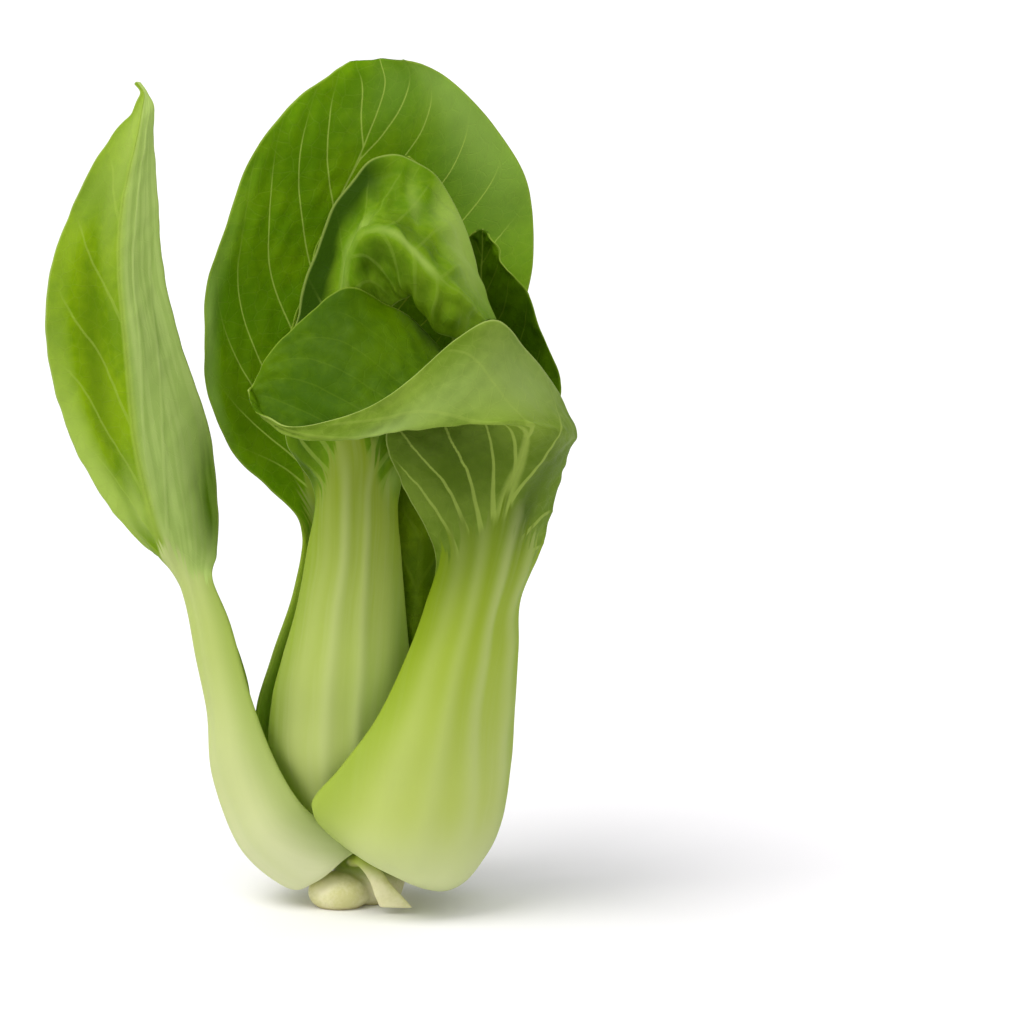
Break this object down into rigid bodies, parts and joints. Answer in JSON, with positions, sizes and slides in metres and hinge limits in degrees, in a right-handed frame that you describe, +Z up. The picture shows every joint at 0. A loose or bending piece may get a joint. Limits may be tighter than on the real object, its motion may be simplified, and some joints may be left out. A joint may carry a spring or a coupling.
{
  "type": "bok choy",
  "caption": "Head of bok choy standing on its cut stem, with fleshy pale stalks and broad green blades, one upright, one folded over and one crumpled into a hood.",
  "frame": {"origin": "on the flat cut face of the stem that the head stands on", "axes": "+Z up along the head, towards the leaf tips; -Y towards the side that the hooded leaf's stalk faces; +X to the folded leaf's side"},
  "size_m": [0.1227, 0.0873, 0.1977],
  "materials": {
    "cut_stem": "matte",
    "leaf_light": "satin",
    "leaf_dark": "satin",
    "leaf_inner": "satin"
  },
  "bodies": {
    "root": {"stem_butt": "cut_stem", "leaf_left_upright": "leaf_light", "leaf_right_folded": "leaf_light", "leaf_front_hooded": "leaf_light", "leaf_back_tall": "leaf_dark", "leaf_back_right": "leaf_dark", "leaf_inner_cupped": "leaf_dark", "leaf_inner_front": "leaf_inner", "leaf_inner_back": "leaf_inner", "leaf_heart": "leaf_inner"}
  },
  "joints": []
}
